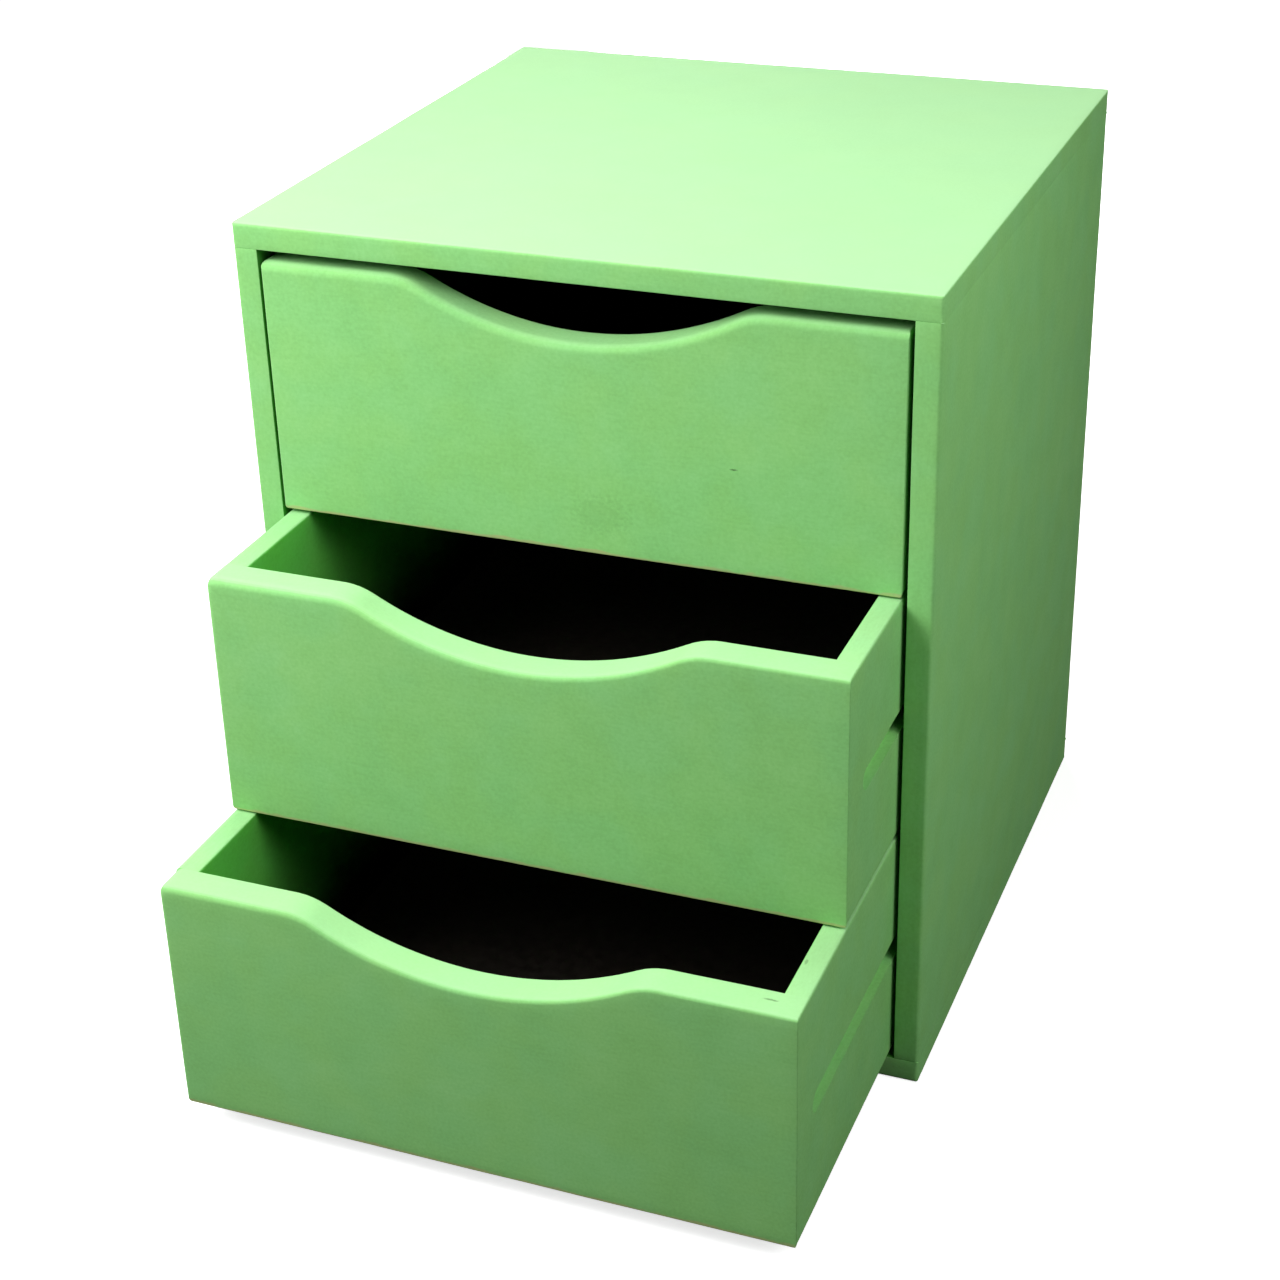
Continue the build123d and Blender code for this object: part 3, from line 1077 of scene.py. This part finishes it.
@dataclass
class Case:
    """Outer box: top and base over two sides, with a thin back sheet let into a rebate."""

    body: str = "case"
    ease: float = 1.2 * MM
    ridge_ease: float = 0.55 * MM
    rear_round: float = 2.6 * MM
    inner_ease: float = 0.2 * MM
    joint_ease: float = 0.12 * MM
    flush_ease: float = 0.05 * MM
    rebate_lap: float = 5 * MM
    overrun: float = 2 * MM
    # Painted light: how far the top panel's upper face is paled.
    fade: float = 0.65
    # Painted shade: the share of each colour kept on the case's inside faces.
    painted_inside_shade: Colour = (0.22, 0.42, 0.18)

    def rebate(self) -> bpy.types.Mesh:
        """Room of the back sheet, to take out of every board.

        Returns:
            A closed mesh.
        """
        low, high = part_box("left_side_panel")
        front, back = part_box("back_panel")[0].y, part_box("top_panel")[1].y + self.overrun
        half = self.rebate_lap - high.x
        return room_mesh("rebate", (-half, front, low.z - self.rebate_lap), (half, back, high.z + self.rebate_lap))

    def lid_eases(self, inner: Side) -> EdgeEases:
        """Eases of the top or base: full outside, hairline where it lies on the sides.

        Args:
            inner: the face that lies on the sides.

        Returns:
            The ease of each edge that isn't plain.
        """
        outer = Side.TOP if inner is Side.FOOT else Side.FOOT
        eases = {edge(inner, Side.FRONT): self.inner_ease}
        for side in (Side.LEFT, Side.RIGHT, Side.BACK):
            eases.update({edge(inner, side): self.flush_ease, edge(outer, side): self.ridge_ease})
        eases.update({edge(Side.BACK, side): self.rear_round for side in (Side.LEFT, Side.RIGHT)})
        return eases

    def wall_eases(self, inner: Side) -> EdgeEases:
        """Eases of a side: full outside, slight at the opening, hairline at the top and base.

        Args:
            inner: the face in the opening.

        Returns:
            The ease of each edge that isn't plain.
        """
        outer = Side.LEFT if inner is Side.RIGHT else Side.RIGHT
        eases = {edge(inner, Side.FRONT): self.inner_ease, edge(inner, Side.BACK): self.joint_ease,
                 edge(outer, Side.BACK): self.rear_round}
        for end in (Side.TOP, Side.FOOT):
            eases.update({edge(end, side): self.joint_ease for side in (inner, Side.FRONT, Side.BACK)})
            eases[edge(end, outer)] = self.flush_ease
        return eases

    def build(self, paint: BrushedPaint, sheet: Hardboard) -> None:
        """Makes and dresses the case.

        Args:
            paint: finish of the boards.
            sheet: finish of the back.
        """
        plans = (
            ("top_panel", Stroke.ACROSS, self.fade, Side.FOOT, self.lid_eases(Side.FOOT)),
            ("bottom_panel", Stroke.ACROSS, 0.0, Side.TOP, self.lid_eases(Side.TOP)),
            ("left_side_panel", Stroke.UPWARD, 0.0, Side.RIGHT, self.wall_eases(Side.RIGHT)),
            ("right_side_panel", Stroke.UPWARD, 0.0, Side.LEFT, self.wall_eases(Side.LEFT)),
        )
        for node, stroke, fade, inside, eases in plans:
            low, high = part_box(node)
            board = Board(f"{node}_board", low, high, self.ease, eases)
            finish = paint.material(f"{node}_paint", Coat(stroke, fade, 0.0, low.z, inside, self.painted_inside_shade))
            place(board.finish(board.eased(), finish, [self.rebate()]), self.body, node)
        back = Board("back_panel_sheet", *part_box("back_panel"), self.joint_ease)
        finish = sheet.material("back_hardboard", 1.0)
        place(back.finish(back.eased(), finish), self.body, "back_panel")


@dataclass(frozen=True)
class HandShaping:
    """How far the sanding rounded one drawer, which was not done alike on both ends."""

    left_round: float
    right_round: float
    left_corner: float
    left_head: float
    left_arris: float
    left_end: float = 0.8 * MM
    left_step: float = 0.0
    right_head: float = 0.8 * MM
    right_end: float = 0.4 * MM
    left_foot: float = 1.5 * MM
    right_foot: float = 2.4 * MM
    foot: float = 0.5 * MM


@dataclass
class Drawer:
    """One drawer: a scooped front, two grooved sides, a back and a thin bottom sheet."""

    name: str
    marks: Sequence[Mark]
    shaping: HandShaping
    # Painted light: how far the tops of the front and back are paled; the sides' tops take the two shares below.
    fade: float
    scoop: ScoopRule
    side_ease: float = 0.8 * MM
    left_top_light_share: float = 0.35
    right_top_light_share: float = 0.4
    edge_depth: float = 5 * MM
    speckle: float = 0.45
    # Painted shade: the share of each colour kept on the drawer's inside faces.
    painted_inside_shade: Colour = (0.52, 0.93, 0.42)
    # Painted shade: depths below the top where the inside starts to darken and where it is near-black.
    shade_start_below_top: float = 22 * MM
    shade_near_black_below_top: float = 74 * MM
    left_over: float = 0.5 * MM
    right_short: float = 0.45 * MM
    joint_ease: float = 0.2 * MM
    groove_height: float = 8.5 * MM
    groove_depth: float = 4 * MM
    groove_stop: float = 4 * MM
    nose_steps: int = 12
    slot_play: float = 0.2 * MM
    overrun: float = 2 * MM
    front_steps: Triple = (2.4 * MM, 7.5 * MM, 7.5 * MM)
    front_segments: int = 6
    side_steps: Triple = (12 * MM, 21 * MM, 13 * MM)
    sheet_unevenness: float = 0.03 * MM

    @property
    def body(self) -> str:
        """Body of the frame that the drawer's pieces ride on."""
        return f"{self.name}_drawer"

    def node(self, piece: str) -> str:
        """Name of one of the drawer's nodes."""
        return f"{self.body}_{piece}"

    def inside_shade_levels(self) -> Span:
        """Levels between which the inside faces darken as painted shade, a little below the drawer's top."""
        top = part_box(self.node("front"))[1].z
        return top - self.shade_start_below_top, top - self.shade_near_black_below_top

    def seated(self, piece: str) -> tuple[Vector, Vector]:
        """Box of a piece whose outer ends are cut so that the drawer sits a little to the left.

        Args:
            piece: name of the front or of a side.

        Returns:
            Its lowest and highest corner.
        """
        whole_low, whole_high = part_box(self.node("front"))
        low, high = (corner.copy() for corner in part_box(self.node(piece)))
        if math.isclose(low.x, whole_low.x, abs_tol=self.slot_play):
            low.x -= self.left_over
        if math.isclose(high.x, whole_high.x, abs_tol=self.slot_play):
            high.x -= self.right_short
        return low, high

    def front(self, paint: BrushedPaint) -> None:
        """Makes the scooped front board.

        Args:
            paint: its finish.
        """
        node = self.node("front")
        low, high = self.seated("front")
        shaping = self.shaping
        eases = {
            edge(Side.FRONT, Side.TOP): shaping.left_round, edge(Side.FRONT, Side.FOOT): shaping.foot,
            edge(Side.FRONT, Side.LEFT): shaping.left_end, edge(Side.FRONT, Side.RIGHT): shaping.right_end,
            edge(Side.TOP, Side.LEFT): shaping.left_corner, edge(Side.TOP, Side.RIGHT): shaping.right_head,
            edge(Side.FOOT, Side.LEFT): shaping.left_foot, edge(Side.FOOT, Side.RIGHT): shaping.right_foot,
        }
        tapers = {edge(Side.FRONT, Side.TOP): shaping.right_round, edge(Side.TOP, Side.LEFT): shaping.left_head,
                  edge(Side.FRONT, Side.LEFT): shaping.left_arris}
        board = Board(f"{node}_board", low, high, 0.0, eases, tapers, self.front_steps, self.front_segments)
        crown = high.z - self.scoop.depth - self.edge_depth
        finish = paint.material(f"{node}_paint", Coat(
            Stroke.ACROSS, self.fade, 0.0, crown, Side.BACK, self.painted_inside_shade, self.marks, self.inside_shade_levels(), low.z))
        place(board.finish(self.scoop.apply(board, finish), finish), self.body, node)

    def groove(self, hand: Hand) -> bpy.types.Mesh:
        """Room of the runner in one side: a bar with a half-round nose.

        Args:
            hand: which side.

        Returns:
            A closed mesh.
        """
        low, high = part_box(self.node(f"{hand.name.lower()}_side"))
        radius = self.groove_height / 2
        level = (low.z + high.z) / 2
        nose = low.y + self.groove_stop + radius
        end = high.y + self.overrun
        turns = [math.pi / 2 + math.pi * step / self.nose_steps for step in range(self.nose_steps + 1)]
        outline = [(end, level - radius), (end, level + radius)]
        outline += [(nose + radius * math.cos(turn), level + radius * math.sin(turn)) for turn in turns]
        outer = high.x if hand is Hand.RIGHT else low.x
        reach = sorted((outer - hand.value * self.groove_depth, outer + hand.value * self.overrun))
        return prism_mesh("groove", outline, *reach)

    def slot(self) -> bpy.types.Mesh:
        """Room of the bottom sheet in the sides.

        Returns:
            A closed mesh.
        """
        low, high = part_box(self.node("bottom"))
        play = self.slot_play
        return room_mesh("slot", (low.x - play, low.y, low.z - play),
                         (high.x + play, high.y + self.overrun, high.z + play))

    def side(self, hand: Hand, paint: BrushedPaint) -> None:
        """Makes one grooved side.

        Args:
            hand: which side.
            paint: its finish.
        """
        piece = f"{hand.name.lower()}_side"
        node = self.node(piece)
        low, high = self.seated(piece)
        shaping = self.shaping
        if hand is Hand.LEFT:
            inside, outside, fade = Side.RIGHT, Side.LEFT, self.left_top_light_share
            head, foot = shaping.left_head, shaping.left_foot
            high.z -= shaping.left_step
        else:
            inside, outside, fade = Side.LEFT, Side.RIGHT, self.right_top_light_share
            head, foot = shaping.right_head, shaping.right_foot
        eases = {edge(Side.FRONT, side): 0.0 for side in (Side.LEFT, Side.RIGHT, Side.TOP, Side.FOOT)}
        eases.update({edge(Side.TOP, inside): self.side_ease, edge(Side.TOP, outside): head,
                      edge(Side.FOOT, outside): foot})
        board = Board(f"{node}_board", low, high, self.joint_ease, eases, steps=self.side_steps)
        finish = paint.material(f"{node}_paint", Coat(
            Stroke.INWARD, fade, self.speckle, high.z - self.edge_depth, inside, self.painted_inside_shade, self.marks,
            self.inside_shade_levels()))
        rooms = [self.groove(hand), self.slot()]
        place(board.finish(board.eased(), finish, rooms), self.body, node)

    def back(self, paint: BrushedPaint) -> None:
        """Makes the back board.

        Args:
            paint: its finish.
        """
        node = self.node("back")
        low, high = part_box(node)
        eases = {edge(Side.TOP, side): self.side_ease for side in (Side.FRONT, Side.BACK)}
        board = Board(f"{node}_board", low, high, self.joint_ease, eases)
        finish = paint.material(f"{node}_paint", Coat(
            Stroke.ACROSS, self.fade, self.speckle, high.z - self.edge_depth, Side.FRONT, self.painted_inside_shade,
            ends=self.inside_shade_levels()))
        place(board.finish(board.eased(), finish), self.body, node)

    def bottom(self, sheet: Hardboard) -> None:
        """Makes the bottom sheet.

        Args:
            sheet: its finish.
        """
        node = self.node("bottom")
        board = Board(f"{node}_sheet", *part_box(node), self.joint_ease, unevenness=self.sheet_unevenness)
        finish = sheet.material(f"{node}_hardboard", 0.0)
        place(board.finish(board.eased(), finish), self.body, node)

    def build(self, paint: BrushedPaint, sheet: Hardboard) -> None:
        """Makes and dresses the drawer.

        Args:
            paint: finish of the boards.
            sheet: finish of the bottom.
        """
        self.front(paint)
        for hand in Hand:
            self.side(hand, paint)
        self.back(paint)
        self.bottom(sheet)


@dataclass(frozen=True)
class Lamp:
    """Soft square lamp of the studio."""

    name: str
    spot: Triple
    size: float
    power: float
    aim: Triple = (0.0, -0.1, 0.18)

    def hang(self) -> None:
        """Puts the lamp in the scene."""
        data = bpy.data.lights.new(self.name, "AREA")
        data.size = self.size
        data.energy = self.power
        lamp = bpy.data.objects.new(self.name, data)
        lamp.location = self.spot
        lamp.rotation_euler = (Vector(self.aim) - Vector(self.spot)).to_track_quat("-Z", "Y").to_euler()
        bpy.context.scene.collection.objects.link(lamp)


@dataclass
class Studio:
    """Pale floor, soft lamps, even surroundings and the camera."""

    floor_half: float = 6.0
    floor_seen: float = 0.9
    floor_glow: float = 0.72
    whiten_reach: Span = (0.20, 0.60)
    floor_bounce: float = 0.08
    ambient: float = 0.012
    lamps: Sequence[Lamp] = (
        Lamp("overhead", (-0.10, 0.10, 1.10), 0.40, 4.3),
        Lamp("left_near", (-0.45, -0.45, 0.60), 0.50, 3.85),
        Lamp("left_front", (-0.40, -0.60, 0.75), 0.40, 3.85),
        Lamp("right_high", (0.60, -0.40, 0.80), 0.50, 2.15),
        Lamp("right_low", (0.60, -0.20, 0.50), 0.40, 1.12),
        Lamp("rear", (-0.60, 1.20, 0.24), 0.45, 14.0, (0.0, 0.1, 0.18)),
    )
    eye: Triple = (298.85 * MM, -809.13 * MM, 555.95 * MM)
    look: Triple = (-0.33223, 0.81945, -0.46704)
    right: Triple = (0.93141, 0.36307, -0.02553)
    focal_pixels: float = 2409.1
    image_pixels: float = 1280.0
    sensor_width: float = 36.0
    near_limit: float = 10 * MM

    def seen(self, bench: NodeBench) -> Socket:
        """Tells what is looked at from light that falls on the chest.

        Args:
            bench: the tree's bench.

        Returns:
            The socket with 1 for what the camera, a gloss or a clear piece shows, and 0 for light.
        """
        ways = bench.add("ShaderNodeLightPath").outputs
        bent = bench.sum("ADD", ways["Is Glossy Ray"], ways["Is Transmission Ray"])
        return bench.sum("ADD", ways["Is Camera Ray"], bent, clamp=True)

    def either(self, bench: NodeBench, light: bpy.types.Node, look: bpy.types.Node, output: str) -> None:
        """Ends a tree with one shader for light and another for what is looked at.

        Args:
            bench: the tree's bench.
            light: the shader for light that falls on the chest.
            look: the shader for what is looked at.
            output: name of the tree's output node.
        """
        wires = {0: self.seen(bench), 1: light.outputs[0], 2: look.outputs[0]}
        both = bench.add("ShaderNodeMixShader", wires)
        bench.wire(bench.tree.nodes[output], {"Surface": both.outputs[0]})

    def floor(self) -> None:
        """Lays the floor, white to the camera but for the shadow."""
        half = self.floor_half
        corners = [(-half, -half, 0), (half, -half, 0), (half, half, 0), (-half, half, 0)]
        mesh = bpy.data.meshes.new("floor")
        mesh.from_pydata(corners, [], [range(len(corners))])
        material, bench, shader = new_material("floor_paper")
        bench.tree.nodes.remove(shader)
        lit, bounce = (bench.add("ShaderNodeBsdfDiffuse", {"Color": (grey, grey, grey, 1.0)})
                       for grey in (self.floor_seen, self.floor_bounce))
        whiten = bench.ease(bench.length(bench.spot()), *self.whiten_reach, self.floor_glow, 1.0)
        glow = bench.add("ShaderNodeEmission", {"Color": WHITE, "Strength": whiten})
        paper = bench.add("ShaderNodeAddShader", {0: lit.outputs[0], 1: glow.outputs[0]})
        self.either(bench, bounce, paper, "Material Output")
        mesh.materials.append(material)
        scratch_object(mesh)

    def surroundings(self) -> None:
        """Sets the even light from all round, white to the camera."""
        world = bpy.data.worlds.new("studio")
        world.use_nodes = True
        bpy.context.scene.world = world
        bench = NodeBench(world.node_tree)
        soft = bench.tree.nodes["Background"]
        bench.wire(soft, {"Color": WHITE, "Strength": self.ambient})
        white = bench.add("ShaderNodeBackground", {"Color": WHITE, "Strength": 1.0})
        self.either(bench, soft, white, "World Output")

    def camera(self) -> None:
        """Stands the camera where the photograph was taken."""
        data = bpy.data.cameras.new("camera")
        data.sensor_width = self.sensor_width
        data.lens = self.sensor_width * self.focal_pixels / self.image_pixels
        data.clip_start, data.clip_end = self.near_limit, 4 * self.floor_half
        camera = bpy.data.objects.new("camera", data)
        look = Vector(self.look).normalized()
        up = Vector(self.right).cross(look).normalized()
        turn = Matrix((look.cross(up), up, -look)).transposed()
        camera.matrix_world = Matrix.Translation(self.eye) @ turn.to_4x4()
        bpy.context.scene.collection.objects.link(camera)
        bpy.context.scene.camera = camera

    def build(self) -> None:
        """Sets up the studio."""
        self.floor()
        self.surroundings()
        for lamp in self.lamps:
            lamp.hang()
        self.camera()
        bpy.context.scene.view_settings.view_transform = "Standard"


def dress_woods() -> None:
    """Gives the runners and dowels, which keep their shape, their wood."""
    softwood = BareWood((0.86, 0.70, 0.47), (0.74, 0.55, 0.33), Grain(1.4 * MM, 3.0, 5.0, 90 * MM),
                        Grain(0.35 * MM, 2.0, 8.0, 22.5 * MM))
    beech = BareWood((0.84, 0.70, 0.52), (0.74, 0.58, 0.40), Grain(0.7 * MM, 3.0, 5.0, 8 * MM),
                     Grain(0.175 * MM, 2.0, 8.0, 2 * MM))
    finishes = {"runner_wood": softwood.material("runner_softwood", Stroke.INWARD),
                "dowel_wood": beech.material("dowel_beech", Stroke.UPWARD)}
    for row in frame["record"]["subparts"]:
        finish = finishes.get(row["material_slot"])
        if finish:
            mesh = frame["nodes"][row["node"]].data
            mesh.materials.clear()
            mesh.materials.append(finish)
            log.info("%s keeps its shape and takes %s", row["node"], finish.name)


def set_pins(drawers: Sequence[Drawer]) -> None:
    """Makes the pins of the case and of every drawer.

    Args:
        drawers: the drawers.
    """
    steel = BrightSteel().material("pin_steel")
    rule = PinRule()
    rows = [
        PinRow("back_sheet_pins", "back_panel_pins", "case", lambda spot: Vector((0, -1, 0))),
        PinRow("runner_fixing_pins", "runner_pins", "case", lambda spot: Vector((math.copysign(1, spot.x), 0, 0))),
    ]
    rows += [PinRow(drawer.node("sheet_pins"), drawer.node("bottom_pins"), drawer.body,
                    lambda spot: Vector((0, 0, 1))) for drawer in drawers]
    for row in rows:
        place(rule.build(row, steel), row.body, row.node)


def main() -> None:
    """Builds the chest and its studio in order."""
    logging.basicConfig(level=logging.INFO, format="%(name)s: %(message)s")
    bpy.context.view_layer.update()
    paint = BrushedPaint()
    # Painted shade: the drawer bottoms are near-black, standing in for the shade inside the drawers.
    shade_dark_sheet = Hardboard((0.09, 0.068, 0.05), (0.12, 0.09, 0.065), (0.06, 0.047, 0.035))
    back_sheet = Hardboard((0.42, 0.28, 0.17), (0.50, 0.35, 0.22), (0.33, 0.21, 0.12))
    scoop = ScoopRule()
    top_marks = (
        Mark((55.8 * MM, -124 * MM, 234.6 * MM), (1.8 * MM, 2 * MM, 0.5 * MM), 0.8),
        Mark((7.7 * MM, -124 * MM, 211.3 * MM), (13 * MM, 4 * MM, 9 * MM), 0.08),
    )
    middle_marks = (
        Mark((74.0 * MM, -183.3 * MM, 195.6 * MM), (1.2 * MM, 0.5 * MM, 2 * MM), 0.5),
    )
    bottom_marks = (
        Mark((103.2 * MM, -225.3 * MM, 102.4 * MM), (3.4 * MM, 0.6 * MM, 2 * MM), 0.55),
        Mark((107.2 * MM, -202.4 * MM, 102.4 * MM), (0.7 * MM, 1.7 * MM, 2 * MM), 0.4),
    )
    top_shaping = HandShaping(3.2 * MM, 2.5 * MM, 1.6 * MM, 1.2 * MM, 0.9 * MM)
    middle_shaping = HandShaping(3.4 * MM, 1.4 * MM, 5 * MM, 2.5 * MM, 3.2 * MM, left_step=0.8 * MM)
    bottom_shaping = HandShaping(2.8 * MM, 1.2 * MM, 4.4 * MM, 2.4 * MM, 2.8 * MM)
    drawers = (
        # The fourth value is the painted light on each drawer's tops.
        Drawer("top", top_marks, top_shaping, 0.2, scoop),
        Drawer("middle", middle_marks, middle_shaping, 0.45, scoop),
        Drawer("bottom", bottom_marks, bottom_shaping, 0.45, scoop),
    )
    Case().build(paint, back_sheet)
    for drawer in drawers:
        drawer.build(paint, shade_dark_sheet)
    dress_woods()
    set_pins(drawers)
    Studio().build()


if __name__ == "__main__":
    main()
